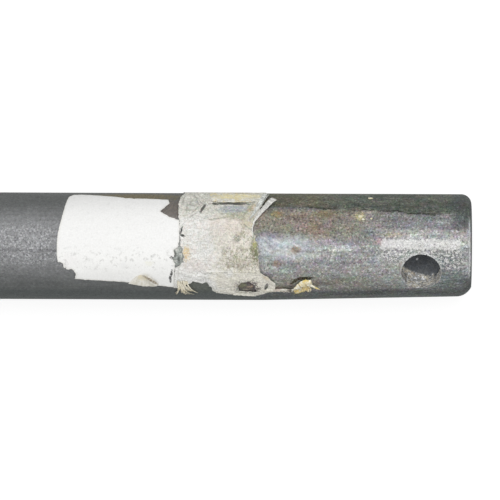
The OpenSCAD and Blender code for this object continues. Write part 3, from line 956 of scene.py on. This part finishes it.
def add_fibres(bm, count, draw, start, spread, heading, length, width, fan=22.0):
    """Loose fibres that start near a place and run off about one heading, in degrees from +X down the bar."""
    for _ in range(count):
        from_end = start[0] + draw.uniform(-spread[0], spread[0])
        arc = start[1] * ARC + draw.uniform(-spread[1], spread[1])
        turn = math.radians(heading + draw.uniform(-fan, fan))
        bend = draw.uniform(-0.5, 0.5)
        reach = length * draw.uniform(0.5, 1.1)
        places = []
        for step in range(6):
            go = reach * step / 5
            now = turn + bend * step / 5
            lift = 0.35 + 0.45 * math.sin(math.pi * step / 5) * draw.uniform(0.4, 1.0)
            places.append((from_end - go * math.cos(now), (arc - go * math.sin(now)) / ARC, lift))
        thick = width * draw.uniform(0.6, 1.2)
        add_strand(bm, places, between([(thick, thick * 0.5), (thick * 0.35, thick * 0.25)], 6), 5,
                   draw.uniform(-1.5, 1.5))


def make_fibre_tuft(finish):
    draw = random.Random(5)
    bm = bmesh.new()
    add_fibres(bm, 22, draw, (103.3, -42.0), (1.5, 1.0), 78.0, 6.8, 0.75, 10.0)
    add_fibres(bm, 5, draw, (103.2, -44.0), (1.0, 1.0), 60.0, 5.5, 0.55, 8.0)
    piece = closed("paper_fibres", bm, finish)
    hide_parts("fibre_tuft")


def make_ribbon(finish):
    bm = bmesh.new()
    places = between([(74.3, -55.5, 0.30), (70.9, -54.0, 0.35), (67.1, -52.4, 0.45), (63.8, -52.9, 0.5)], 24)
    sizes = between([(1.6, 0.25), (1.9, 0.3), (2.3, 0.35), (2.9, 0.4)], 24)
    sizes = [(w * (1.0 + 0.18 * math.sin(k * 2.3)), h) for k, (w, h) in enumerate(sizes)]
    add_strand(bm, places, sizes, 10, 0.35)
    draw = random.Random(8)
    add_fibres(bm, 14, draw, (66.7, -53.4), (2.5, 0.5), 20.0, 1.8, 0.25)
    piece = closed("tape_ribbon", bm, finish)
    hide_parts("torn_ribbon")


def make_torn_tuft(finish):
    def rise(point, from_edge):
        back = near_line(point, (63.4, -47.5), (57.8, -39.0), 2.4)
        return 0.15 + back + 0.35 * crease(point, 1.3, 31.0) * ease(from_edge, 0.0, 1.0)

    outline = [(64.2, -51.0, 0.12), (63.2, -45.5, 0.1), (61.2, -39.4, 0.1), (59.2, -36.0, 0.1),
               (57.3, -36.4, 0.12), (56.8, -41.0, 0.25), (57.6, -47.5, 0.35), (58.0, -51.8, 0.35),
               (59.9, -55.2, 0.35), (62.2, -59.0, 0.3), (63.2, -57.0, 0.2)]
    bm = bmesh.new()
    draw = random.Random(11)
    add_fibres(bm, 20, draw, (59.4, -48.5), (2.0, 1.2), 70.0, 2.4, 0.35)
    add_fibres(bm, 10, draw, (62.0, -54.5), (1.2, 0.6), 85.0, 1.7, 0.30)
    places = between([(57.6, -43.4, 0.7), (56.0, -46.8, 0.75), (54.2, -51.0, 0.5)], 12)
    add_strand(bm, places, between([(1.2, 0.5), (1.0, 0.45), (0.8, 0.3)], 12), 8, 0.6)
    fibres = closed("tuft_fibres", bm, finish)
    piece = torn_sheet("torn_tape_tuft", outline, rise, finish, TAPE_THICKNESS, seed=37.0, pitch=0.3)
    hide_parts("torn_tuft")


# place and size in mm of each speck of glue
GLUE_SPECKS = [((36.2, 65.4), (0.95, 0.5)), ((39.8, 34.7), (0.8, 0.6)), ((38.8, 31.1), (0.55, 0.4)),
               ((35.9, 32.1), (0.42, 0.35))]


def make_glue_specks(finish):
    bm = bmesh.new()
    for number, (place, size) in enumerate(GLUE_SPECKS):
        made = bmesh.ops.create_icosphere(bm, subdivisions=3, radius=1.0)
        for vert in made["verts"]:
            lump = 1.0 + 0.28 * noise.noise(vert.co * 1.7 + Vector((number * 9.0, 0.0, 0.0)))
            along = vert.co.x * size[0] * lump
            around = vert.co.y * size[1] * lump
            lift = 0.03 + max(0.0, vert.co.z * lump + 0.35) * min(size) * 0.45
            vert.co = on_bar(place[0] + along, place[1] + around / ARC, lift)
    piece = closed("glue_drops", bm, finish)
    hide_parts("glue_specks")


# ---------------------------------------------------------------- camera and light


def add_camera():
    """A long lens straight above the bar; the recess end is in view and the plain end isn't."""
    distance = 4.0
    from_end = 79.05 * MM
    across = -1.2 * MM
    view_width = 178.7 * MM
    roll = math.radians(0.23)
    data = bpy.data.cameras.new("camera")
    data.sensor_width = 36.0
    data.lens = data.sensor_width * distance / view_width
    data.clip_start = 0.1
    data.clip_end = 20.0
    camera = add_object("camera", data)
    camera.location = (END - from_end, across, AXIS_HEIGHT + distance)
    camera.rotation_euler = (0.0, 0.0, roll)
    bpy.context.scene.camera = camera


def add_lamp(name, where, target, width, height, watts):
    data = bpy.data.lights.new(name, "AREA")
    data.shape = "RECTANGLE"
    data.size = width
    data.size_y = height
    data.energy = watts
    lamp = add_object(name, data)
    lamp.location = where
    lamp.visible_camera = False
    lamp.rotation_euler = (Vector(target) - Vector(where)).to_track_quat("-Z", "Y").to_euler()


# the floor's half width in m, its grey and its glow where it is seen, and the world's light on things
FLOOR_REACH = 4.0
FLOOR_COLOUR = 0.25
FLOOR_GLOW = 0.86
WORLD_LIGHT = 0.62


def seen_or_mirrored(nodes):
    """1 for what is seen, straight on or in a reflection, and 0 for the light that falls on things."""
    seen = nodes.node("ShaderNodeLightPath", output="Is Camera Ray")
    for ray in ("Is Glossy Ray", "Is Transmission Ray"):
        seen = seen.at_least(nodes.node("ShaderNodeLightPath", output=ray))
    return seen


def add_floor():
    """White ground: it glows where it is seen, and throws only a little light back on things."""
    bm = bmesh.new()
    bmesh.ops.create_grid(bm, x_segments=1, y_segments=1, size=FLOOR_REACH)
    mesh = bpy.data.meshes.new("floor")
    bm.to_mesh(mesh)
    bm.free()
    floor = add_object("floor", mesh)
    floor.location = (0.0, 0.0, -0.05 * MM)
    material = bpy.data.materials.new("white_floor")
    material.use_nodes = True
    material.node_tree.nodes.clear()
    nodes = Nodes(material.node_tree)
    bare = nodes.node("ShaderNodeBsdfDiffuse", None, {"Color": (FLOOR_COLOUR, FLOOR_COLOUR, FLOOR_COLOUR)})
    glow = nodes.node("ShaderNodeEmission", None, {"Strength": seen_or_mirrored(nodes) * FLOOR_GLOW})
    both = nodes.node("ShaderNodeAddShader", None, {0: bare, 1: glow})
    nodes.node("ShaderNodeOutputMaterial", None, {"Surface": both})
    mesh.materials.append(material)


def add_world():
    """White surroundings that shed less light on things than they show to the camera."""
    world = bpy.data.worlds.new("studio")
    bpy.context.scene.world = world
    world.use_nodes = True
    nodes = Nodes(world.node_tree)
    background = world.node_tree.nodes["Background"]
    nodes.feed(background.inputs["Color"], (1.0, 1.0, 1.0))
    nodes.feed(background.inputs["Strength"], WORLD_LIGHT + seen_or_mirrored(nodes) * (1.0 - WORLD_LIGHT))


bpy.context.scene.view_settings.view_transform = "Standard"
add_camera()
add_world()
add_floor()
add_lamp("overhead", where=(0.1, 0.2, 0.7), target=(0.07, 0.0, 0.02), width=0.5, height=0.35, watts=2.2)

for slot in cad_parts["bar"].material_slots:
    slot.material = steel_finish()

make_label(label_finish())
backing = backing_finish()
make_flap(backing)
tape = tape_finish("beige_crepe_tape")
make_band(tape)
make_lower_strip(tape)
yellow_line = [((84.0, 66.5), (9.5, 1.9), 0.0, 0.6, 0.5, 0.85, (0.86, 0.76, 0.40)),
               ((80.0, 78.0), (7.0, 1.6), 0.0, 0.8, 0.5, 0.6, (0.42, 0.36, 0.20))]
make_upper_strip(stained_finish("stained_tape", (0.88, 0.87, 0.80), (0.72, 0.71, 0.63),
                                (0.80, 0.70, 0.44), yellow_line))
make_rolled_strand(strand_finish("rolled_tape", (0.92, 0.91, 0.87), (0.66, 0.66, 0.62)))
make_short_strand(strand_finish("grey_rolled_tape", (0.78, 0.80, 0.76), (0.50, 0.52, 0.49)))
make_fibre_tuft(stained_finish("straw_fibres", (0.74, 0.68, 0.52), (0.56, 0.50, 0.36), (0.80, 0.76, 0.64)))
make_ribbon(stained_finish("ribbon_tape", (0.95, 0.92, 0.82), (0.70, 0.67, 0.56), (0.84, 0.72, 0.63)))
# painted shade along three creases of the tuft, and a yellow stain
tuft_crease_shade_and_stain = [((60.8, -45.0), (2.0, 0.24), 52.0, 0.3, 0.5, 1.0, (0.36, 0.26, 0.11)),
                ((58.8, -43.5), (1.8, 0.20), 66.0, 0.3, 0.5, 1.0, (0.40, 0.28, 0.10)),
                ((62.4, -49.5), (1.5, 0.22), 40.0, 0.3, 0.5, 0.9, (0.42, 0.34, 0.18)),
                ((59.2, -49.8), (1.4, 0.9), 0.0, 0.8, 0.5, 0.8, (0.78, 0.58, 0.20))]
make_torn_tuft(stained_finish("yellowed_tape", (0.95, 0.92, 0.79), (0.80, 0.71, 0.46),
                              (0.84, 0.64, 0.18), tuft_crease_shade_and_stain))
make_glue_specks(glue_finish())
